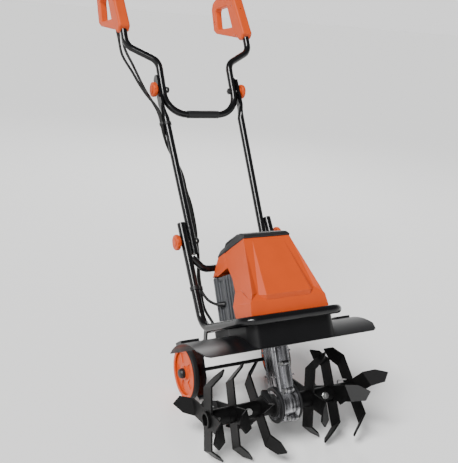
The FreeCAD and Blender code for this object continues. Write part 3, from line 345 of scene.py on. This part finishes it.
def build_wheel_details():
    """A dark domed cap over each axle nut and the orange rim that laps over the tyre's outer wall."""
    for side, name in SIDES:
        dome = [point for x, radius in ((141.2, 13), (148, 13), (153, 10.5), (154.5, 6))
                for point in disc(side * x, *WHEEL_CENTRE, radius)]
        hull_piece("axle_cap_" + name, dome, "black_plastic", "chassis", 0)
        planes, body = (side * 139.5, side * 142.4), "wheel_" + name
        ring_piece("wheel_rim_" + name, planes, (56, 65.5), WHEEL_CENTRE, "orange_plastic", body, 0.6)


def build_leg_details():
    """Dark end rings round the gear case and dark caps on the pivot bolts' heads."""
    pivots = (("upper", "middle_handle", 96, 200.5, 844), ("lower", "chassis", 93.4, 154, 420))
    for side, name in SIDES:
        planes = (side * 22.6, side * 27.6)
        radii = (33.2, 41.5)
        ring_piece("gearcase_ring_" + name, planes, radii, GEARCASE_CENTRE, "black_plastic", "chassis", 1.6)
        for level, body, x, y, z in pivots:
            dome = [point for inset, radius in ((0, 8.2), (5, 8.2), (7.4, 5))
                    for point in disc(side * (x - inset), y, z, radius)]
            hull_piece("bolt_cap_%s_%s" % (level, name), dome, "black_plastic", body, 0)


# ---------------------------------------------------------------- cables

CABLE_RADIUS = 0.0035

POWER_TOP = [
    (-188, 264, 1012), (-188, 264, 988), (-186, 259, 962), (-180, 247, 935), (-172, 232, 902),
    (-164, 221, 868), (-153, 209, 834), (-139, 196, 804), (-128.2, 187, 777), (-127.2, 186, 754)]
SIGNAL_TOP = [
    (-186, 240, 1014), (-186, 241, 990), (-182, 237, 962), (-172, 230, 930), (-161, 229, 895),
    (-150, 219, 850), (-138, 206, 810), (-128.2, 196, 777), (-127.2, 195, 754)]
POWER_MIDDLE = [
    (-127.18, 185.98, 753.6), (-126.1, 184.9, 728), (-122, 196, 700), (-109, 203, 668), (-98, 195, 635),
    (-94, 184, 600), (-95, 178, 560), (-89.2, 170, 522), (-88.5, 168, 487)]
SIGNAL_MIDDLE = [
    (-127.18, 194.98, 753.6), (-126.1, 193.9, 728), (-117, 205, 700), (-103, 211, 668), (-91, 203, 635),
    (-86, 192, 600), (-87, 186, 560), (-81.2, 178, 522), (-80.5, 176, 487)]
POWER_LOWER = [
    (-88.49, 167.98, 486.6), (-87.9, 166.2, 456), (-87.5, 169, 425), (-88, 164, 388), (-96, 157, 356),
    (-104, 150, 327), (-108, 137, 298), (-104, 127, 276), (-95, 116, 258), (-80, 108, 250)]
SIGNAL_LOWER = [
    (-80.49, 175.98, 486.6), (-79.9, 174.2, 456), (-81, 177, 425), (-84, 171, 390), (-90, 167, 358),
    (-97, 159, 327), (-102, 146, 296), (-103, 147, 268), (-99, 148, 242), (-91, 138, 217), (-87, 124, 195.5)]


def spline_cable(name, routes):
    """One curve object with a smooth spline along each route."""
    curve = bpy.data.curves.new(name, "CURVE")
    curve.dimensions = "3D"
    curve.bevel_depth = CABLE_RADIUS
    curve.bevel_resolution = 4
    curve.use_fill_caps = True
    curve.resolution_u = 10
    for route in routes:
        spline = curve.splines.new("NURBS")
        spline.points.add(len(route) - 1)
        for point, place in zip(spline.points, route):
            point.co = (*row(*place), 1)
        spline.order_u = 3
        spline.use_endpoint_u = True
    obj = bpy.data.objects.new(name, curve)
    scene.collection.objects.link(obj)
    curve.materials.append(LOOKS["cable_black"])
    return obj


def build_free_cables():
    """The free stretches below the left grip, as smooth splines riding the upper handle."""
    for name, route in (("power_cable_top", POWER_TOP), ("switch_cable_top", SIGNAL_TOP)):
        piece = spline_cable(name, [route])
        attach(piece, "upper_handle")
        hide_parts("cables_top")


def build_clipped_cables():
    """The stretches held by the clips, as plain pieces."""
    for name, body, node, routes in (
            ("cables_middle_look", "middle_handle", "cables_middle", [POWER_MIDDLE, SIGNAL_MIDDLE]),
            ("cables_lower_look", "chassis", "cables_lower", [POWER_LOWER, SIGNAL_LOWER])):
        piece = spline_cable(name, routes)
        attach(piece, body)
        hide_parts(node)


# ---------------------------------------------------------------- stage

FLOOR_SIZE = 80
SUN_AIM = (2.2, 1.2, -2.9)
LAMP_AIM = (0, 0, 0.35)
LAMPS = (("strip", (-1.2, -2.4, 1.6), 0.4, 9), ("rim", (1.2, 2.4, 2.0), 0.7, 24))
CAMERA_PLACE = (-793, -1418.7, 188.4)
CAMERA_HEADING = math.radians(-26.94)
CAMERA_DIP = math.radians(8.93)
FOCAL_LENGTH = 52.87


def aim(holder, direction):
    """Points a lamp along a direction."""
    holder.rotation_euler = Vector(direction).to_track_quat("-Z", "Y").to_euler()


def build_world():
    """An even studio sky, bright at the horizon and dim overhead."""
    world = bpy.data.worlds.new("studio")
    scene.world = world
    world.use_nodes = True
    nodes, links = world.node_tree.nodes, world.node_tree.links
    place = nodes.new("ShaderNodeTexCoord")
    height = nodes.new("ShaderNodeSeparateXYZ")
    links.new(place.outputs["Generated"], height.inputs["Vector"])
    ramp = nodes.new("ShaderNodeValToRGB")
    horizon, overhead = ramp.color_ramp.elements[0], ramp.color_ramp.elements[1]
    horizon.position = 0.10
    horizon.color = (1.3, 1.3, 1.3, 1)
    overhead.position = 0.45
    overhead.color = (0.16, 0.16, 0.165, 1)
    links.new(height.outputs["Z"], ramp.inputs["Fac"])
    links.new(ramp.outputs["Color"], nodes["Background"].inputs["Color"])
    nodes["Background"].inputs["Strength"].default_value = 1.0


def build_lights():
    """A broad soft sun, a strip in front and a larger lamp behind."""
    sun = bpy.data.lights.new("sun", "SUN")
    sun.energy = 4.6
    sun.angle = math.radians(24)
    holder = bpy.data.objects.new("sun", sun)
    aim(holder, SUN_AIM)
    scene.collection.objects.link(holder)
    for name, place, size, power in LAMPS:
        lamp = bpy.data.lights.new(name, "AREA")
        lamp.size = size
        lamp.energy = power
        holder = bpy.data.objects.new(name, lamp)
        holder.location = place
        aim(holder, Vector(LAMP_AIM) - Vector(place))
        scene.collection.objects.link(holder)


def build_floor():
    """A plain pale floor."""
    bpy.ops.mesh.primitive_plane_add(size=FLOOR_SIZE, location=(0, 0, 0))
    floor = bpy.context.object
    floor.name = "floor"
    floor.data.materials.append(material("floor_pale", (0.95, 0.95, 0.94), 0.9))


def build_camera():
    """The photograph's view: it saw the machine pitched less, so the camera pitches on by the difference."""
    data = bpy.data.cameras.new("photo_camera")
    data.lens = FOCAL_LENGTH
    data.sensor_width = 36
    data.clip_start = 0.05
    holder = bpy.data.objects.new("photo_camera", data)
    look = Matrix.Rotation(CAMERA_HEADING, 4, "Z") @ Matrix.Rotation(math.radians(90) - CAMERA_DIP, 4, "X")
    extra = Matrix.Rotation(PHOTO_PITCH - LEG_PITCH, 4, "X")
    holder.matrix_world = Matrix.Translation(row(*CAMERA_PLACE)) @ extra @ look
    scene.collection.objects.link(holder)
    scene.camera = holder


dress_frame()
build_hood()
build_fins()
build_wheel_details()
build_leg_details()
build_free_cables()
build_clipped_cables()
build_floor()
build_world()
build_lights()
build_camera()
